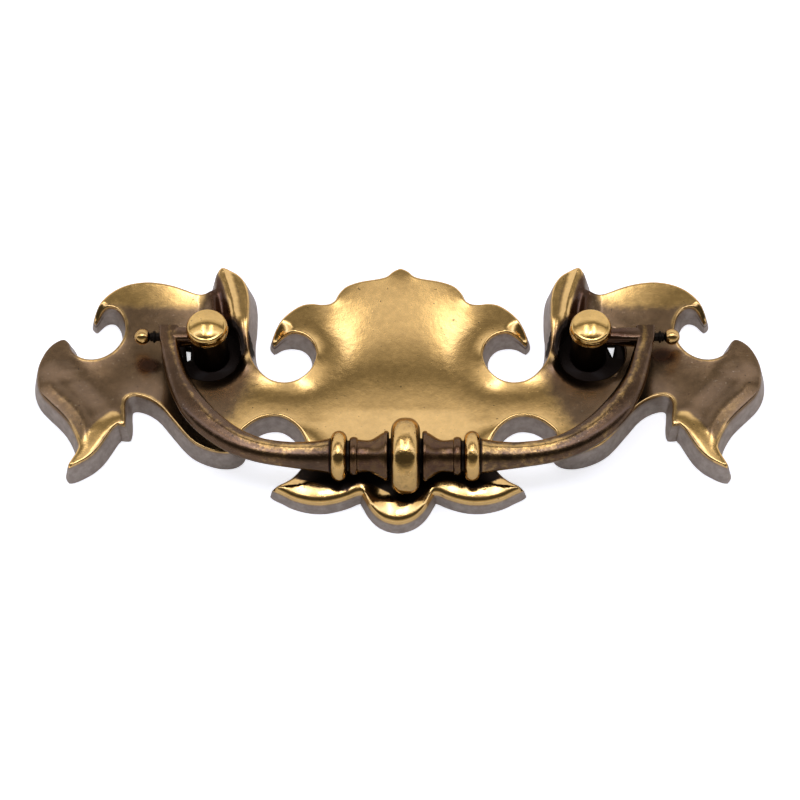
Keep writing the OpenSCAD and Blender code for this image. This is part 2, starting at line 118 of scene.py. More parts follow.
def smooth_sweep(knots, mirror_last=False, pace=0.25):
    """Evenly spaced points on a smooth curve through the knots, without the last knot."""
    knots = np.array(knots, float)
    first = 2 * knots[0] - knots[1]
    last = knots[-2] * [-1, 1] if mirror_last else 2 * knots[-1] - knots[-2]
    k = np.vstack([first, knots, last])
    t = np.linspace(0, 1, 12, endpoint=False)[:, None]
    line = [0.5 * (2 * b + (c - a) * t + (2 * a - 5 * b + 4 * c - d) * t ** 2
                   + (3 * b - a - 3 * c + d) * t ** 3)
            for a, b, c, d in zip(k[:-3], k[1:-2], k[2:-1], k[3:])]
    line = np.vstack(line + [knots[-1:]])
    along = np.append(0, np.cumsum(np.linalg.norm(np.diff(line, axis=0), axis=1)))
    places = np.linspace(0, along[-1], max(4, round(along[-1] / pace)) + 1)
    line = np.column_stack([np.interp(places, along, line[:, n]) for n in (0, 1)])
    for turn in range(24):  # eases the small waver of the knots, and gives back what that shrinks
        share = 0.5 if turn % 2 == 0 else -0.51
        line[1:-1] += share * (0.5 * (line[:-2] + line[2:]) - line[1:-1])
    return line[:-1]


half = np.vstack([
    smooth_sweep(shoulder_and_hook), smooth_sweep(notch_and_prong), smooth_sweep(lobe_edge),
    smooth_sweep(wing_edge), smooth_sweep(toe_edge), smooth_sweep(toe_inner),
    smooth_sweep(step_edge), smooth_sweep(arch_and_tail), smooth_sweep(leaf_edge),
    smooth_sweep(drop_edge, mirror_last=True), [drop_edge[-1]]])
rim = np.vstack([half, half[-2:0:-1] * [-1, 1]])


def inward_of(loop, reach):
    """The direction into the metal at each point of a clockwise loop."""
    run = np.roll(loop, -reach, axis=0) - np.roll(loop, reach, axis=0)
    run /= np.linalg.norm(run, axis=1)[:, None]
    return np.column_stack([run[:, 1], -run[:, 0]])


rim_in = inward_of(rim, 5)
turn = np.linspace(0, 2 * math.pi, 120, endpoint=False)
seats = [np.column_stack([side * seat_x + seat_r * np.cos(turn), seat_r * np.sin(turn)])
         for side in (1, -1)]


def depth_from(points, loop):
    """Distance of each point from a closed loop of short chords."""
    depth = np.empty(len(points))
    run = np.roll(loop, -1, axis=0) - loop
    length = (run ** 2).sum(axis=1)
    for at in range(0, len(points), 2000):
        block = points[at:at + 2000, None, :]
        part = ((block - loop) * run).sum(axis=2) / length
        foot = loop + np.clip(part, 0, 1)[:, :, None] * run
        gap = ((block - foot) ** 2).sum(axis=2)
        depth[at:at + 2000] = np.sqrt(gap.min(axis=1))
    return depth


def inside(points, loop):
    """Which points lie inside a closed loop."""
    x, y = loop[:, 0], loop[:, 1]
    x2, y2 = np.roll(x, -1), np.roll(y, -1)
    found = np.empty(len(points), bool)
    for at in range(0, len(points), 4000):
        px, py = points[at:at + 4000, 0:1], points[at:at + 4000, 1:2]
        over = (y > py) != (y2 > py)
        rise = np.where(y2 == y, 1, y2 - y)
        found[at:at + 4000] = (over & (px < x + (py - y) * (x2 - x) / rise)).sum(axis=1) % 2 == 1
    return found


def ease(a, b, v):
    """0 below a, 1 above b, and smooth between them."""
    t = np.clip((v - a) / (b - a), 0, 1)
    return t * t * (3 - 2 * t)


def near(points, x, y, reach):
    """1 at a place on both halves of the plate, fading to 0 at its reach."""
    gap = np.hypot(np.abs(points[:, 0]) - x, points[:, 1] - y)
    return 1 - ease(0, reach, gap)


def lip_height(p):
    """Height of the plate's edge above the back."""
    x, y = np.abs(p[:, 0]), p[:, 1]
    return (5.2 - 1.7 * ease(17, 31, -y) * (1 - ease(25, 31, x))
            + 1.4 * ease(-3, 7, y) * (1 - ease(3, 7, np.abs(x - 34)))
            - 2.3 * near(p, 25.6, 2.4, 5) - 2.3 * near(p, 62.1, 7.6, 4))


def way_along(p, line):
    """Distance from a line on either half of the plate, and the share of it that has gone by."""
    q = np.column_stack([np.abs(p[:, 0]), p[:, 1]])
    line = np.array(line, float)
    run = np.diff(line, axis=0)
    total = np.append(0, np.cumsum(np.linalg.norm(run, axis=1)))
    best, share = np.full(len(p), 99.0), np.zeros(len(p))
    for a, r, start, end in zip(line[:-1], run, total[:-1], total[1:]):
        t = np.clip(((q - a) * r).sum(axis=1) / (r ** 2).sum(), 0, 1)
        gap = np.linalg.norm(q - a - t[:, None] * r, axis=1)
        closer = gap < best
        best[closer] = gap[closer]
        share[closer] = (start + t * (end - start))[closer] / total[-1]
    return best, share


prong_crest = [(36.4, 18.4), (35.2, 15), (34.1, 11), (33.4, 7), (32.9, 3.5), (32.2, 0), (31, -3.5)]
wing_crest = [(70.5, -2), (69.6, -6.5), (68.5, -10), (66.3, -13), (64, -16), (62.2, -19.5)]
toe_crest = [(56.6, -16), (58.4, -18), (60.2, -20.8), (62.2, -23.6), (63.9, -26)]


def front_height(p, d, soft):
    """Height of the front at a point that is d in from the edge; soft is that depth smoothed."""
    x, y = np.abs(p[:, 0]), p[:, 1]
    top = lip_height(p)
    middle = 1 - ease(22, 31, x)
    bowl = bowl_least + bowl_deep * np.exp(-bowl_bend / bowl_deep * (y - bowl_y) ** 2)
    deep = (dish_deep + middle * (bowl - dish_deep)
            + 0.42 * np.clip(1 - (x / 17) ** 2, 0, 1) * ease(-19, -13, y))
    height = top - deep * (1 - (1 - np.clip(soft / (12.5 - 2 * middle), 0, 1)) ** 2)
    eased = d + (soft - d) * ease(1.5, 4.5, d)
    # the fleur swells and rolls down to its edge, with a pocket under the large ring
    fleur = ease(16.5, 28, -y) * (1 - ease(25, 31, x))
    swell = top + 1.2 * (1 - (1 - np.clip(d / 5.5, 0, 1)) ** 2)
    height += fleur * (swell - height)
    pocket = (1 - ease(2.6, 8, x)) * (1 - ease(1.6, 7, np.abs(y + 27.8)))
    height -= pocket * np.clip(height - 3.1, 0, 9)
    # the wings do the same along their outer edge
    gap, share = way_along(p, wing_crest)
    swell = top + 0.9 * (1 - (1 - np.clip(eased / 5, 0, 1)) ** 2.2)
    height += (1 - ease(1.5, 7.5, gap)) * ease(0, 0.35, share) * (swell - height)
    # the toes have a broad bevel along their inner side
    gap, share = way_along(p, toe_crest)
    height += (1 - ease(0.2, 2.4, gap)) * 0.6 * (top + 0.2 - height)
    # the prongs rise to a crest, with a hollow flank inside it and a steep one outside
    line = np.array(prong_crest[::-1])
    out = x - np.interp(y, line[:, 1], line[:, 0])
    inner = 0.15 * ease(0, 3, -out) + 0.45 * np.sin(math.pi * np.clip(-out / 3.1, 0, 1))
    outer = (1.5 + 1.4 * (1 - ease(8, 14, y))) * ease(-0.1, 2.9, out)
    prong = top + 0.25 - np.where(out < 0, inner, outer)
    share = ease(-6, 1, y) * (1 - ease(2.0, 4.2, out)) * (out > -6)
    height += share * (prong - height)
    # round the hole for a post the front sinks, most of all on the side of the prong
    from_seat = np.hypot(x - seat_x, y)
    sink = (0.15 + 0.85 * ease(-2, 5, seat_x - x)) * (1 - ease(0, 2.4, from_seat - seat_r))
    height -= sink * (1 - ease(5.2, 6.2, height))
    roll = 0.40 + 0.45 * fleur
    rolled = np.clip(roll - d, 0, roll)
    return height - roll + np.sqrt(roll ** 2 - rolled ** 2)


def back_height(p, d):
    """Height of the back: a solid border, the hollow, and a ring round each post's pocket."""
    hollow = 2.0 * ease(2.45, 2.85, d) * ease(-22.4, -21.8, p[:, 1])
    from_post = np.hypot(np.abs(p[:, 0]) - post_x, p[:, 1])
    hollow *= ease(8.35, 8.5, from_post)
    return np.where(from_post < pocket_r, 1.86, hollow)


# Places on the front: the edge, rows that follow it, rings round the seats, and an even field that
# is finer on the prongs and the fleur
field_pitch, fine_pitch, fine_row = 0.55, 0.3, 0.26
columns = np.arange(-74, 74, field_pitch)
rows = np.arange(-39, 21, field_pitch * math.sqrt(0.75))
field = np.vstack([np.column_stack([columns + (n % 2) * field_pitch / 2, np.full(len(columns), y)])
                   for n, y in enumerate(rows)])
fine = [np.column_stack([side * (np.arange(29.6, 38.6, fine_pitch) + (n % 2) * fine_pitch / 2),
                         np.full(30, y)])
        for side in (1, -1) for n, y in enumerate(np.arange(-5, 19, fine_row))]
at_prong = (np.abs(np.abs(field[:, 0]) - 34.2) < 4.8) & (np.abs(field[:, 1] - 7) < 12.2)
at_fleur = (np.abs(field[:, 0]) < 19) & (np.abs(field[:, 1] + 31.2) < 4.5)
fine += [np.column_stack([np.arange(-18.85, 19, fine_pitch) + (n % 2) * fine_pitch / 2,
                          np.full(127, y)])
         for n, y in enumerate(np.arange(-35.5, -26.8, fine_row))]
field = np.vstack([field[~at_prong & ~at_fleur]] + fine)
field = field[inside(field, rim)]
kept = depth_from(field, rim) > 1.55
rings = []
for side in (1, -1):
    from_post = np.hypot(field[:, 0] - side * post_x, field[:, 1])
    from_seat = np.hypot(field[:, 0] - side * seat_x, field[:, 1])
    kept &= (from_seat > seat_r + 0.5) & (np.abs(from_post - pocket_r) > 0.3)
    kept &= np.abs(from_post - boss_r) > 0.35
    for centre, r in ((seat_x, seat_r + 0.12), (seat_x, seat_r + 0.3), (post_x, 7.34),
                      (post_x, 7.39), (post_x, 8.34), (post_x, 8.51)):
        ring = np.column_stack([side * centre + r * np.cos(turn), r * np.sin(turn)])
        from_seat = np.hypot(ring[:, 0] - side * seat_x, ring[:, 1])
        ring = ring[(from_seat > seat_r + 0.08) & inside(ring, rim)]
        rings.append(ring[depth_from(ring, rim) > 0.4])
followers = []
for gap, every in ((0.07, 1), (0.15, 1), (0.25, 1), (0.38, 1), (0.55, 1), (0.8, 2), (1.15, 2)):
    row = rim[::every] + gap * rim_in[::every]
    row = row[inside(row, rim)]
    followers.append(row[depth_from(row, rim) > 0.93 * gap])
border_rows = []
for gap in (2.47, 2.86):
    row = rim + gap * rim_in
    row = row[inside(row, rim)]
    row = row[depth_from(row, rim) > 0.99 * gap]
    far = np.all([np.hypot(row[:, 0] - s * post_x, row[:, 1]) > 8.9 for s in (1, -1)], axis=0)
    border_rows.append(row[far])
places = np.vstack([rim] + seats + followers + rings + border_rows + [field[kept]])
chords = []
start = 0
for loop in [rim] + seats:
    chords += [(start + n, start + (n + 1) % len(loop)) for n in range(len(loop))]
    start += len(loop)
fixed = start
spots, _, panes, origins, _, _ = delaunay_2d_cdt(
    [Vector(p) for p in places], chords, [], 0, 1e-4)
spots = np.array([tuple(p) for p in spots])
panes = np.array([tuple(f) for f in panes if len(f) == 3])
centres = spots[panes].mean(axis=1)
panes = panes[inside(centres, rim) & ~inside(centres, seats[0]) & ~inside(centres, seats[1])]
order = np.full(fixed, -1)
for new, olds in enumerate(origins):
    for old in olds:
        if old < fixed:
            order[old] = new
a, b, c = (spots[panes[:, n]] for n in range(3))
upside = (b[:, 0] - a[:, 0]) * (c[:, 1] - a[:, 1]) - (b[:, 1] - a[:, 1]) * (c[:, 0] - a[:, 0]) < 0
panes[upside] = panes[upside][:, ::-1]

depth = depth_from(spots, rim)
from_seat = np.min([np.hypot(spots[:, 0] - s * seat_x, spots[:, 1]) for s in (1, -1)], axis=0)

# The depth from the edge, smoothed on an even grid, gives the dish its soft floor
grid_pitch = 0.5
grid_x, grid_y = np.arange(-74, 74.1, grid_pitch), np.arange(-40, 21.1, grid_pitch)
grid = np.column_stack([part.ravel() for part in np.meshgrid(grid_x, grid_y)])
level = depth_from(grid, rim)
level = np.where(inside(grid, rim), level, -level).reshape(len(grid_y), len(grid_x))
yielding = 0.95 * ease(0.3, 3.0, level)
for turn in range(220):
    spread = np.pad(level, 1, mode="edge")
    spread = (spread[:-2] + spread[1:-1] + spread[2:]) / 3
    spread = (spread[:, :-2] + spread[:, 1:-1] + spread[:, 2:]) / 3
    level = level + yielding * (spread - level)
at_x, at_y = (spots[:, 0] - grid_x[0]) / grid_pitch, (spots[:, 1] - grid_y[0]) / grid_pitch
col, row = at_x.astype(int), at_y.astype(int)
at_x, at_y = at_x - col, at_y - row
soft_depth = ((1 - at_y) * ((1 - at_x) * level[row, col] + at_x * level[row, col + 1])
              + at_y * ((1 - at_x) * level[row + 1, col] + at_x * level[row + 1, col + 1]))
front_z = front_height(spots, depth, soft_depth) - 0.3 * (1 - ease(0, 0.32, from_seat - seat_r))
back_z = back_height(spots, depth)
rim_ids = order[:len(rim)]

# The side walls lean out from the rolled edge to the back, with a slightly worn lower arris
lean, arris = 0.22, 0.06
rim_top = front_z[rim_ids]
wall_rows = []
for share in (0.1, 0.25, 0.45, 0.65, 0.85, 0.96, 1.0):
    z = rim_top * (1 - share)
    out = lean * (lip_height(rim) - z)
    if share == 1.0:
        out = out - arris
    wall_rows.append(np.column_stack([rim - out[:, None] * rim_in, z]))

plate_points = [np.column_stack([spots, front_z]), np.column_stack([spots, back_z])] + wall_rows
count = len(spots)
plate_faces = panes.tolist()
back = panes[:, ::-1] + count
moved_rim = np.arange(2 * count)
last_row = 2 * count + (len(wall_rows) - 1) * len(rim)
moved_rim[rim_ids + count] = last_row + np.arange(len(rim))
plate_faces += moved_rim[back].tolist()
levels = [rim_ids] + [2 * count + row * len(rim) + np.arange(len(rim))
                      for row in range(len(wall_rows))]
n = np.arange(len(rim))
m = (n + 1) % len(rim)
for upper, lower in zip(levels[:-1], levels[1:]):
    plate_faces += np.column_stack([upper[n], upper[m], lower[m], lower[n]]).tolist()
start = len(rim)
for loop in seats:
    ids = order[start:start + len(loop)]
    start += len(loop)
    nxt = np.roll(ids, -1)
    plate_faces += np.column_stack([ids, ids + count, nxt + count, nxt]).tolist()
plate_points = np.vstack(plate_points)


def fitted(points, node):
    """Keeps a piece's points inside the box of the solid that it stands for."""
    low, high = (np.array(corner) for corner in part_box(node))
    return np.clip(points * 0.001, low, high)


def piece_from(name, points, faces, crease=math.radians(38)):
    """A smooth-shaded mesh object at the origin, with its faces pointing outwards."""
    mesh = bpy.data.meshes.new(name)
    mesh.from_pydata([tuple(p) for p in points], [], faces)
    work = bmesh.new()
    work.from_mesh(mesh)
    bmesh.ops.delete(work, geom=[v for v in work.verts if not v.link_faces], context="VERTS")
    bmesh.ops.recalc_face_normals(work, faces=work.faces)
    work.to_mesh(mesh)
    work.free()
    mesh.polygons.foreach_set("use_smooth", [True] * len(mesh.polygons))
    mesh.set_sharp_from_angle(angle=crease)
    piece = bpy.data.objects.new(name, mesh)
    bpy.context.scene.collection.objects.link(piece)
    return piece


def paint(piece, name, values):
    """Keeps a number from 0 to 1 at each point of a piece for its finish to read."""
    layer = piece.data.attributes.new(name, "FLOAT", "POINT")
    layer.data.foreach_set("value", np.clip(values, 0, 1).astype(np.float32))


plate = piece_from("plate_casting", fitted(plate_points, "backplate"), plate_faces)


class Wire:
    """A socket of a finish. Sums, differences and products of it add the Math nodes."""

    def __init__(self, finish, socket):
        self.finish, self.socket = finish, socket

    def put(self, operation, other):
        return self.finish.add("Math", {"operation": operation}, {0: self, 1: other})

    def __add__(self, other):
        return self.put("ADD", other)

    __radd__ = __add__

    def __mul__(self, other):
        return self.put("MULTIPLY", other)

    __rmul__ = __mul__

    def __sub__(self, other):
        return self.put("SUBTRACT", other)

    def __rsub__(self, other):
        return (self * -1) + other

    def between(self, low, high):
        """0 at low, 1 at high and smooth between them."""
        return self.finish.add("MapRange", {"interpolation_type": "SMOOTHSTEP"},
                               {0: self, 1: low, 2: high})


class Finish:
    """A material and the one way its nodes are added."""

    def __init__(self, name):
        self.material = bpy.data.materials.new(name)
        self.material.use_nodes = True
        self.tree = self.material.node_tree
        self.tree.nodes.clear()

    def add(self, kind, settings=None, sockets=None, out=0):
        """A node of a kind, with its settings and the values or links of its sockets."""
        node = self.tree.nodes.new("ShaderNode" + kind)
        for name, value in (settings or {}).items():
            if name == "stops":
                ramp = node.color_ramp
                while len(ramp.elements) < len(value):
                    ramp.elements.new(0.5)
                for element, (place, colour) in zip(ramp.elements, value):
                    element.position, element.color = place, colour
            else:
                setattr(node, name, value)
        for name, value in (sockets or {}).items():
            if isinstance(value, Wire):
                self.tree.links.new(value.socket, node.inputs[name])
            else:
                node.inputs[name].default_value = value
        return Wire(self, node.outputs[out])

    def mix(self, share, low, high):
        """One colour over another."""
        return self.add("Mix", {"data_type": "RGBA"}, {0: share, 6: low, 7: high}, out=2)

    def show(self, surface):
        node = self.tree.nodes.new("ShaderNodeOutputMaterial")
        self.tree.links.new(surface.socket, node.inputs["Surface"])


def antique_brass(name, gold, brown, black, patchy=0.45, uneven=0.065):
    """Browned and relieved brass under lacquer. The first attribute read is how far the brown is
    rubbed off, with a painted highlight and painted shade in it; the second is how deep the place
    lies, with painted shade in it; and the side attribute is 1 on a wall that was never buffed."""
    finish = Finish(name)
    where = finish.add("TexCoord", out="Object")
    rub = finish.add("Attribute", {"attribute_name": "rub"}, out="Fac")
    dirt = finish.add("Attribute", {"attribute_name": "dirt"}, out="Fac")
    side = finish.add("Attribute", {"attribute_name": "side"}, out="Fac")

    def noise(scale, detail=3.0, rough=0.55):
        return finish.add("TexNoise", {}, {"Vector": where, "Scale": scale, "Detail": detail,
                                           "Roughness": rough}, out="Fac")

    clouds = noise(120.0, 4.0)
    mottle = noise(650.0, 5.0, 0.65)
    grain = noise(3800.0, 2.0)
    pits = noise(1500.0, 1.0).between(0.72, 0.79)
    specks = noise(2100.0, 2.0).between(0.66, 0.74)
    # bare brass where the rub mask is high, which also gives the painted highlight; painted shade
    # keeps the brown
    bare_and_sheen = (rub + (clouds - 0.5) * 0.55 + (mottle - 0.5) * patchy).between(0.22, 0.88)
    bare_and_sheen = bare_and_sheen * (1 - side * 0.9)
    colour = finish.mix(bare_and_sheen, brown, gold)
    tint = (mottle - 0.5) * 0.5 + (clouds - 0.5) * (1.3 - bare_and_sheen * 0.9) + 1.0
    colour = finish.add("VectorMath", {"operation": "SCALE"}, {0: colour, 3: tint})
    grey = finish.mix(mottle.between(0.25, 0.8), (0.36, 0.30, 0.245, 1), (0.56, 0.48, 0.40, 1))
    colour = finish.mix(side * 0.9, colour, grey)
    colour = finish.mix(specks * (1 - bare_and_sheen) * (1 - side) * 0.35, colour, (0.62, 0.50, 0.36, 1))
    # the dirt mask darkens to a red-brown stain and then to black: dirt in hollows, and painted
    # shade under the grip, on the bail's undersides and round the posts
    stain_and_shade = (dirt + (clouds - 0.5) * 0.6 * dirt).between(0.05, 0.5)
    colour = finish.mix(stain_and_shade * 0.85, colour, (0.075, 0.028, 0.014, 1))
    soil_and_shade = (dirt * 1.2 + (mottle - 0.5) * 0.9 * dirt).between(0.35, 0.95)
    colour = finish.mix(soil_and_shade, colour, black)
    colour = finish.mix(pits * (1 - side) * 0.6, colour, black)
    roughness = 0.12 + (1 - bare_and_sheen) * 0.12 + side * 0.2 + (mottle - 0.5) * 0.1 + soil_and_shade * 0.25
    height = grain * 0.15 + mottle * 0.7 + clouds * 2.0 - pits * 1.2
    bump = finish.add("Bump", {}, {"Strength": uneven, "Distance": 0.0004, "Height": height})
    surface = finish.add("BsdfPrincipled", {}, {
        "Base Color": colour, "Metallic": 1.0 - soil_and_shade * 0.15 - side * 0.3, "Roughness": roughness,
        "Normal": bump, "Coat Weight": 0.3 - soil_and_shade * 0.28, "Coat Roughness": 0.06,
        "Specular Tint": (0.8, 0.68, 0.52, 1)})
    finish.show(surface)
    return finish.material


plate_z = np.array([v.co.z for v in plate.data.vertices]) * 1000
plate_xy = np.array([(v.co.x, v.co.y) for v in plate.data.vertices]) * 1000
is_front = np.arange(len(plate_z)) < count
is_wall = np.arange(len(plate_z)) >= 2 * count
depth = np.append(np.append(depth, depth), np.zeros(len(plate_z) - 2 * count))
x, y = np.abs(plate_xy[:, 0]), plate_xy[:, 1]

# Where the plate is rubbed bright: the whole middle, the top of the lobes, the prongs' crests and
# inner flanks, the toes' bevels and every lip. A painted highlight is added on the lower rim of each
# post hole.
middle = 1 - ease(24, 34, x - 0.6 * np.clip(-y - 10, 0, 8) + 0.3 * np.clip(y + 3, -4, 4))
lobe = ease(7.5, 12.5, y) * ease(36, 43, x)
gap, share = way_along(plate_xy, prong_crest)
crest = (1 - ease(0.6, 2.6, gap)) * ease(-6, 3, y)
inner_flank = (1 - ease(0.4, 3.4, depth)) * (x > 29) * (x < 35.5) * ease(-6, 0, y)
from_post = np.hypot(x - post_x, y)
from_hole = np.hypot(x - seat_x, y) - seat_r
# painted highlight: the lower rim of each post hole, on its side toward the camera, is painted
# bright brass
hole_rim_highlight = 0.9 * (1 - ease(0.15, 0.5, from_hole)) * ease(2, 5, -y)
gap, share = way_along(plate_xy, toe_crest)
toe = 1 - ease(0.8, 2.4, gap)
gap, share = way_along(plate_xy, wing_crest)
wing = 0.34 * (1 - ease(0.3, 3.5, gap)) * ease(0.1, 0.6, share)
lips = 0.6 * (1 - ease(0.35, 1.3, depth)) * (1 - ease(64, 67, x) * ease(-22, -18, y))
rub = np.max([middle, lobe, crest, inner_flank, toe, wing, lips, hole_rim_highlight], axis=0)
rub[~is_front] = 0.15

# Where the plate darkens: dark patina with painted shade round the posts, dirt beside the prongs, in
# two pools, under the lips and in the pockets, and painted shade under the grip
line = np.array(prong_crest[::-1])
out = x - np.interp(y, line[:, 1], line[:, 0])
flank = ease(0.3, 1.6, out) * (1 - ease(3.6, 6, out)) * ease(-5, 1, y) * (1 - ease(15, 19, y))
# dark patina with painted shade round each post hole, most on the side toward the prong
toward_prong = ease(-1.5, 4, seat_x - x) * ease(-4, 0, y)
dirt = ((1 - ease(0.1, 0.5 + 2.2 * toward_prong, from_hole)) * is_front
        * (0.25 + 0.75 * toward_prong))
dirt = np.maximum(dirt, 0.45 * flank * is_front)
pools = [(-50.5, -3.6), (52.8, -1.2)]
for px, py in pools:
    gone = np.hypot((plate_xy[:, 0] - px) / 1.3, plate_xy[:, 1] - py)
    dirt = np.maximum(dirt, 0.55 * (1 - ease(0.5, 3.2, gone)) * is_front)
under_lip = lip_height(plate_xy) - 0.4 - plate_z
line_of_dirt = ease(-0.1, 0.15, under_lip) * (1 - ease(0.5, 1.3, under_lip))
dirt = np.maximum(dirt, 0.5 * is_wall * line_of_dirt)
dirt[(from_post < 8.6) & ~is_front] = 0.8
# painted shadow and reflection of the grip: the plate below the grip is painted dark, ending in a
# wavy line along the grip's outline
grip_shadow_line = np.array([
    (-22, -28.6), (-18, -29.8), (-15.2, -30.8), (-11.7, -32), (-9.9, -31.8), (-8.2, -30.4),
    (-5.6, -30.2), (-3.5, -31), (-1.7, -32.2), (-1, -33.8), (1.2, -34.8), (3, -34.8), (4, -33.4),
    (5.7, -31.8), (7.5, -30), (9.6, -29.8), (11.8, -30.2), (14.3, -31.6), (16.1, -31.4),
    (17.4, -30.6), (19.5, -29.4), (22, -28.6)])
beyond = plate_xy[:, 1] - np.interp(plate_xy[:, 0], grip_shadow_line[:, 0], grip_shadow_line[:, 1])
grip_shadow = ease(-0.2, 0.25, beyond) * ease(20, 23.5, -y) * (1 - ease(19, 22, x)) * is_front
dirt = np.maximum(dirt, 0.8 * grip_shadow)
rub = rub * (1 - 0.8 * flank)
dirt = np.maximum(dirt, 0.28 * near(plate_xy, 30.5, -5.5, 7) * is_front)
paint(plate, "rub", rub)
paint(plate, "dirt", dirt)
on_wall = is_wall * ease(0, 0.6, lip_height(plate_xy) - 0.35 - plate_z)
paint(plate, "side", on_wall + 0.8 * (~is_front & ~is_wall))
plate.data.materials.append(antique_brass(
    "browned_brass_plate", (0.82, 0.52, 0.18, 1), (0.225, 0.14, 0.07, 1), (0.010, 0.006, 0.004, 1)))
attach(plate, "plate")
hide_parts("backplate")

# The two posts are each turned from brass bar: a foot that the plate traps, a neck with a cross
# hole for the bail's arm, and a low domed head. A screw comes up into each from behind.
post_top, pivot_z = 15.1, 9.6
tap_r, bore_r = 1.75, 1.86


def turned(name, profile, parts=96):
    """A turned piece on the Z axis, from its profile of radius and height pairs."""
    angle = np.linspace(0, 2 * math.pi, parts, endpoint=False)
    points, faces, levels = [], [], []
    for r, z in profile:
        if r < 1e-6:
            levels.append([len(points)] * parts)
            points.append((0, 0, z))
        else:
            levels.append(list(range(len(points), len(points) + parts)))
            points += [(r * math.cos(a), r * math.sin(a), z) for a in angle]
    for low, high in zip(levels[:-1], levels[1:]):
        for n in range(parts):
            m = (n + 1) % parts
            face = list(dict.fromkeys([low[n], low[m], high[m], high[n]]))
            if len(face) > 2:
                faces.append(face)
    return piece_from(name, points, faces)


def cut_away(piece, cutter):
    """Takes a cutter's shape out of a piece."""
    modifier = piece.modifiers.new("cut", "BOOLEAN")
    modifier.operation, modifier.solver, modifier.object = "DIFFERENCE", "EXACT", cutter
    view = bpy.context.evaluated_depsgraph_get()
    mesh = bpy.data.meshes.new_from_object(piece.evaluated_get(view))
    piece.modifiers.clear()
    piece.data = mesh
    bpy.data.objects.remove(cutter)


def post(name, side):
    """A finished post in its place on the plate; side is 1 on the right and -1 on the left."""
    rim_under = post_top - 3.2
    profile = [(0, 0), (7.15, 0), (7.3, 0.15), (7.3, 1.65), (7.15, 1.8), (3.9, 1.8), (3.65, 1.95),
               (3.6, 2.3), (3.6, rim_under - 0.1), (3.8, rim_under), (4.0, rim_under + 0.04),
               (4.13, rim_under + 0.18), (4.15, rim_under + 0.38), (4.08, rim_under + 0.5),
               (4.1, rim_under + 0.58)]
    for a in np.linspace(4, 72, 10):
        a = math.radians(a)
        profile.append((3.25 + 0.88 * math.cos(a), post_top - 2.45 + 1.62 * math.sin(a)))
    profile += [(r, post_top - 0.078 * r * r)
                for r in (3.4, 3.2, 3.0, 2.7, 2.4, 2.0, 1.6, 1.2, 0.8, 0.4, 0)]
    piece = turned(name, profile)
    thread = [(0, -1), (tap_r, -1), (tap_r, 0)]
    for n in range(20):
        z = 0.25 + n * 0.33
        thread += [(tap_r, z), (1.55, z + 0.165)]
    thread += [(tap_r, 6.95), (0, 7.5)]
    cut_away(piece, turned("tap", thread, 48))
    bore = turned("bore", [(0, -2.8), (bore_r, -2.8), (bore_r, 9), (0, 9)], 64)
    for v in bore.data.vertices:
        v.co = (v.co.z * side, v.co.y, v.co.x + pivot_z)
    cut_away(piece, bore)
    gap = [(3.5, 3.2), (5.6, 3.2), (4.9, -0.2)] if side > 0 else [
        (-5.4, 2.3), (-4.3, 2.1), (-4.2, -0.7), (-4.9, -1.1)]
    n = len(gap)
    window = piece_from("window", [(px, py, z) for z in (-1, 3) for px, py in gap],
                        [tuple(range(n)), tuple(range(n, 2 * n))]
                        + [(i, (i + 1) % n, n + (i + 1) % n, n + i) for i in range(n)])
    cut_away(piece, window)
    points = np.array([v.co for v in piece.data.vertices]) + [side * post_x, 0, 0]
    piece.data.vertices.foreach_set("co", fitted(points, name).ravel())
    piece.data.update()
    piece.name = name + "_turning"
    z = points[:, 2]
    # the head is rubbed bright; the neck and foot are painted black, dark patina together with
    # painted shade under the head
    paint(piece, "rub", 0.15 + 0.85 * ease(rim_under, rim_under + 0.5, z))
    paint(piece, "dirt", 1 - ease(rim_under - 0.1, rim_under + 0.2, z))
    paint(piece, "side", z * 0)
    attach(piece, "plate")
    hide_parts(name)
    return piece


post_brass = antique_brass(
    "rubbed_brass_posts", (0.78, 0.49, 0.15, 1), (0.24, 0.14, 0.06, 1), (0.008, 0.005, 0.004, 1),
    patchy=0.6, uneven=0.12)
for name, side in (("left_post", -1), ("right_post", 1)):
    post(name, side).data.materials.append(post_brass)

# The bail is one casting in brass: two arms that end as pins in the posts, square corners with a
# ball outside each, two bent legs with a soft ridge, and a straight grip turned with rings, cups
# and beads. It has slid to the right in the posts, and rests on the plate a little tilted.
bail_drop, corner_x, slid, rest_tilt = 27.8, 47.6, 1.6, math.radians(2.68)
leg_knots = [  # place, width, thickness and squareness
    (47.6, 1.75, 3.9, 3.6, 7), (47.6, -0.4, 3.6, 3.5, 6), (47.2, -2.4, 3.55, 3.4, 3.5),
    (46.4, -5.6, 3.9, 3.5, 2.6), (45.3, -9.4, 4.3, 3.7, 2.3), (43.6, -13.3, 4.9, 4.1, 2.2),
    (41.2, -17.2, 5.5, 4.4, 2.2), (37.9, -20.9, 5.5, 4.4, 2.2), (33.3, -24.4, 5.2, 4.4, 2.2),
    (28.3, -26.5, 4.9, 4.4, 2.1), (22.6, -27.5, 5.1, 4.7, 2), (18, -27.8, 5.8, 5.6, 2),
    (15.2, -27.8, 6.7, 6.7, 2), (13.5, -27.8, 7.3, 7.3, 2)]


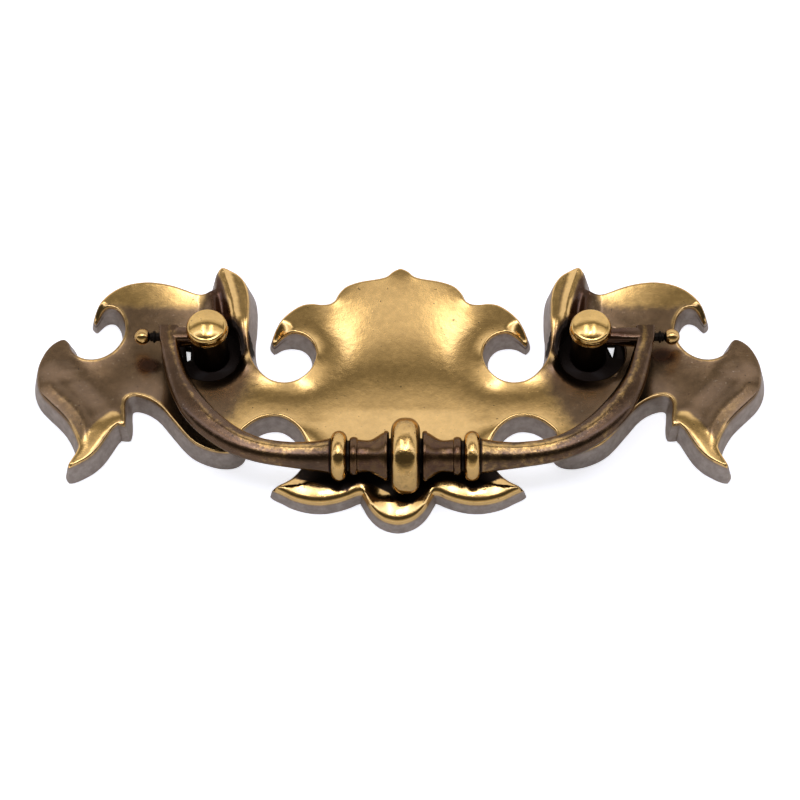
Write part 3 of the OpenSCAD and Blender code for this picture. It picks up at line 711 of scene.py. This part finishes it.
def swept_leg(side):
    """A leg's points, in rings from its corner to the grip, and the counts of rings and points."""
    k = np.array(leg_knots, float)
    k = np.vstack([2 * k[0] - k[1], k, 2 * k[-1] - k[-2]])
    t = np.linspace(0, 1, 8, endpoint=False)[:, None]
    path = np.vstack([0.5 * (2 * b + (c - a) * t + (2 * a - 5 * b + 4 * c - d) * t ** 2
                             + (3 * b - a - 3 * c + d) * t ** 3)
                      for a, b, c, d in zip(k[:-3], k[1:-2], k[2:-1], k[3:])] + [k[-2:-1]])
    run = np.gradient(path[:, :2], axis=0)
    run /= np.linalg.norm(run, axis=1)[:, None]
    angle = np.linspace(0, 2 * math.pi, 56, endpoint=False)
    points = []
    for (px, py, wide, thick, square), (rx, ry) in zip(path, run):
        soft = ease(2.2, 3.5, square)
        for a in angle:
            c, s = math.cos(a), math.sin(a)
            r = (abs(c) ** square + abs(s) ** square) ** (-1 / square)
            swell = 1 + (1 - soft) * (0.06 * math.exp(-((a - 1.75) / 0.22) ** 2)
                                      + 0.05 * math.exp(-((a - 0.1) / 0.25) ** 2)
                                      + 0.05 * math.exp(-((a - 0.1 - 2 * math.pi) / 0.25) ** 2))
            u, v = wide / 2 * r * c * swell, thick / 2 * r * s * swell
            points.append((side * (px - ry * u), py + rx * u, v))
    return points, len(path), len(angle)


def tube_faces(levels, around, first):
    """The faces of a closed tube whose rings of points start at the first."""
    faces = [[first + n for n in range(around)][::-1],
             [first + (levels - 1) * around + n for n in range(around)]]
    for level in range(levels - 1):
        for n in range(around):
            m = (n + 1) % around
            a, b = first + level * around, first + (level + 1) * around
            faces.append([a + n, a + m, b + m, b + n])
    return faces


def bulge(x0, x1, edge, top, steps):
    """A turned swelling from one place to another, as places and radii."""
    return [((x0 + x1) / 2 - (x1 - x0) / 2 * math.cos(a), edge + (top - edge) * math.sin(a))
            for a in np.linspace(0, math.pi, steps)]


half_grip = [(0, 7.45)]
for a in np.linspace(78, 0, 12):
    a = math.radians(a)
    half_grip.append((0.35 + 2.45 * math.cos(a), 4.95 + 2.5 * math.sin(a)))
half_grip += [(2.8, 4.3), (2.72, 3.5), (3.2, 3.4)]
half_grip += bulge(3.25, 4.3, 4.5, 4.9, 10)[:-2]
for t in np.linspace(0, 1, 18):
    r = 2.92 + 1.85 * (1 - ease(-0.15, 0.68, t)) + 0.3 * t ** 3
    half_grip.append((4.15 + t * 5.05, float(r)))
half_grip += bulge(9.25, 10.85, 3.25, 3.72, 12) + [(10.9, 3.0), (11.3, 3.0)]
half_grip += bulge(11.35, 14.5, 3.3, 4.9, 18) + [(14.5, 2.6), (14.5, 0)]
profile = [(r, -x) for x, r in half_grip[::-1]] + [(r, x) for x, r in half_grip[1:]]
grip = turned("grip", profile, 112)
bail_points = [(v.co.z, v.co.y - bail_drop, v.co.x) for v in grip.data.vertices]
bail_faces = [list(f.vertices) for f in grip.data.polygons]
bail_dirt_and_shade, bail_rub_and_shade = [], []
for v in grip.data.vertices:
    r, along = math.hypot(v.co.x, v.co.y), abs(v.co.z)
    outer = np.interp(along, [0, 2.4, 2.9, 3.3, 4.4, 4.6, 5.6, 7, 9.2, 9.5, 10.6, 11, 11.6, 14.3],
                      [7.45, 7.2, 7.2, 4.9, 4.9, 4.7, 4.0, 3.2, 3.3, 3.72, 3.72, 4.6, 4.9, 4.9])
    bail_dirt_and_shade.append(float(ease(0.25, 1.6, np.array(outer - r))) * 0.95
                     + 0.40 * (2.9 < along < 11.2))
    # painted shade: the grip's underside and its side away from the camera are painted brown and
    # dark
    facing_back = v.co.y / max(r, 0.1)
    facing_down = -v.co.x / max(r, 0.1)
    painted_shade_side = float(max(ease(0.35, 0.9, np.array(facing_back)),
                         ease(0.1, 0.7, np.array(facing_down))))
    bail_rub_and_shade.append((0.9 if along < 2.9 or along > 11.2 else 0.5) * (1 - 0.85 * painted_shade_side))
    bail_dirt_and_shade[-1] = max(bail_dirt_and_shade[-1], 0.75 * float(ease(0.2, 0.9, np.array(facing_down))),
                        0.7 * float(ease(0.5, 0.95, np.array(facing_back))))
bpy.data.objects.remove(grip)

for side in (1, -1):
    points, levels, around = swept_leg(side)
    bail_faces += tube_faces(levels, around, len(bail_points))
    for n, p in enumerate(points):
        a = 2 * math.pi * (n % around) / around
        ridge = math.exp(-((a - 1.75) / 0.3) ** 2)
        # painted shade: each leg's underside is painted browner and darker
        lower = max(0.0, -math.sin(a - 0.1))
        bail_rub_and_shade.append(0.09 + 0.09 * side + 0.35 * ridge - 0.1 * lower
                        + 0.2 * (1 - ease(26, 36, side * p[0])))
        bail_dirt_and_shade.append(0.3 * lower + 0.5 * float(ease(0.3, 0.9, np.array(-math.sin(a))))
                         + 0.8 * float(1 - ease(14.5, 15.2, np.array(abs(p[0])))))
    bail_points += points
    arm = []
    pin_end, corner_in = post_x + 3.6 - 4.2, corner_x - 1.6
    for at, r, square in ((pin_end, 1.6, 2), (pin_end + 0.15, 1.78, 2), (41.9, 1.78, 2),
                          (42.6, 1.78, 2.6), (corner_in, 1.76, 3.6), (corner_x, 1.72, 3.6)):
        for a in np.linspace(0, 2 * math.pi, 48, endpoint=False):
            c, s = math.cos(a), math.sin(a)
            k = (abs(c) ** square + abs(s) ** square) ** (-1 / square)
            arm.append((side * at, r * k * c, r * k * s))
    bail_faces += tube_faces(6, 48, len(bail_points))
    bail_points += arm
    bail_rub_and_shade += [0.2] * len(arm)
    bail_dirt_and_shade += [0.35 if abs(p[0]) < 43 else 0.1 for p in arm]
    knop = [(0.85, corner_x + 1.2), (0.85, corner_x + 2.55), (1.2, corner_x + 2.7),
            (1.25, corner_x + 3.0), (0.95, corner_x + 3.15), (0.9, corner_x + 3.6)]
    ball_at, ball_r = corner_x + 5.25, 1.6
    for a in np.linspace(-68, 90, 18):
        a = math.radians(a)
        knop.append((max(0.0, ball_r * math.cos(a)) if a < 1.57 else 0.0,
                     ball_at + ball_r * math.sin(a)))
    ball = turned("ball", [(0, corner_x + 1.2)] + knop, 40)
    bail_faces += [[len(bail_points) + i for i in f.vertices] for f in ball.data.polygons]
    for v in ball.data.vertices:
        bail_points.append((side * v.co.z, v.co.y, v.co.x))
        bail_rub_and_shade.append(0.75 if v.co.z > ball_at - 1.3 else 0.2)
        bail_dirt_and_shade.append(0.0 if v.co.z > ball_at - 1.2 else 0.95)
    bpy.data.objects.remove(ball)

# The bail at rest, slid in its posts and tilted about its pins
bail_points = np.array(bail_points)
c, s = math.cos(rest_tilt), math.sin(rest_tilt)
bail_points = np.column_stack([
    bail_points[:, 0] + slid, c * bail_points[:, 1] + s * bail_points[:, 2],
    -s * bail_points[:, 1] + c * bail_points[:, 2] + pivot_z])
bail = piece_from("bail_casting", fitted(bail_points, "bail"), bail_faces,
                  crease=math.radians(42))
paint(bail, "rub", np.array(bail_rub_and_shade))
paint(bail, "dirt", np.array(bail_dirt_and_shade))
paint(bail, "side", np.zeros(len(bail_points)))
bail.data.materials.append(antique_brass(
    "browned_brass_bail", (0.74, 0.46, 0.15, 1), (0.13, 0.074, 0.038, 1), (0.010, 0.007, 0.005, 1),
    patchy=1.0, uneven=0.22))
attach(bail, "bail")
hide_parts("bail")

# The table and the lights: the pull lies on a white table under one small soft box overhead, in a
# pale room with a bright patch of sky on each side. The table shows white where no shadow falls.
table = piece_from("table", [(-3, -3, 0), (3, -3, 0), (3, 3, 0), (-3, 3, 0)], [(0, 1, 2, 3)])
for v in table.data.vertices:
    v.co.z = -0.00002
white = Finish("white_table")
seen = white.add("LightPath", out="Is Camera Ray")
cloth = white.add("BsdfDiffuse", {}, {"Color": (0.86, 0.86, 0.86, 1)})
lift = white.add("Emission", {}, {"Color": (1, 1, 1, 1), "Strength": 0.62})
both = white.add("AddShader", {}, {0: cloth, 1: lift})
white.show(white.add("MixShader", {}, {0: seen, 1: cloth, 2: both}))
table.data.materials.append(white.material)


def soft_box(name, place, size, radiance):
    """A lamp that looks at the pull, and whose face shows at the given radiance."""
    lamp = bpy.data.lights.new(name, "AREA")
    lamp.shape, lamp.size, lamp.size_y = "RECTANGLE", size[0], size[1]
    lamp.energy = radiance * math.pi * size[0] * size[1]
    holder = bpy.data.objects.new(name, lamp)
    holder.location = place
    holder.rotation_euler = Vector(place).to_track_quat("Z", "Y").to_euler()
    bpy.context.scene.collection.objects.link(holder)


soft_box("top_box", (0.02, -0.10, 0.85), (0.17, 0.07), 9.0)

room = bpy.data.worlds.new("room")
bpy.context.scene.world = room
room.use_nodes = True


class Sky(Finish):
    """The room's light, made with the same way of adding nodes."""

    def __init__(self, tree):
        self.tree = tree
        self.tree.nodes.clear()


sky = Sky(room.node_tree)
towards = sky.add("TexCoord", out="Generated")
across = sky.add("SeparateXYZ", {}, {0: towards})
back, up = (Wire(sky, across.socket.node.outputs[n]) for n in (1, 2))
# 0 is the horizon behind the pull, 0.5 is straight up and 1 is the horizon at the camera's side
over = up.put("ARCTAN2", back) * (1 / math.pi)


def stops(pairs):
    """Levels of light, a little warm where it is low and a little cool where it is high."""
    return [(at, (level * (1.06 - 0.08 * level), level, level * (0.88 + 0.3 * level), 1))
            for at, level in pairs]


arch = sky.add("ValToRGB", {"stops": stops([
    (0.0, 0.8), (0.21, 0.95), (0.255, 0.92), (0.285, 0.60), (0.315, 0.24), (0.337, 0.17),
    (0.362, 0.36), (0.395, 0.72), (0.455, 0.9), (0.505, 1.9), (0.54, 0.8), (0.575, 0.2),
    (0.61, 0.06), (0.80, 0.06), (0.89, 0.4), (1.0, 0.8)])}, {0: over})
sides = sky.add("ValToRGB", {"stops": stops([
    (0.0, 0.0), (0.335, 0.05), (0.385, 1.0), (0.42, 0.3), (0.46, 0.0), (0.54, 0.0), (0.57, 0.3),
    (0.60, 1.0), (0.655, 0.05), (1.0, 0.0)])}, {0: across * 0.5 + 0.5})
window = over.between(0.35, 0.42) * (1 - over.between(0.53, 0.57)) * 4.0
lobes = sky.add("VectorMath", {"operation": "SCALE"}, {0: sides, 3: window})
light = sky.add("Mix", {"data_type": "RGBA", "blend_type": "ADD"},
                {0: 1.0, 6: arch, 7: lobes}, out=2)
glow = sky.add("Background", {}, {"Color": light, "Strength": 1.0})
plain = sky.add("Background", {}, {"Color": (1, 1, 1, 1), "Strength": 1.0})
seen = sky.add("LightPath", out="Is Camera Ray")
whole = sky.add("MixShader", {}, {0: seen, 1: glow, 2: plain})
output = sky.tree.nodes.new("ShaderNodeOutputWorld")
sky.tree.links.new(whole.socket, output.inputs["Surface"])

bpy.context.scene.view_settings.view_transform = "Standard"
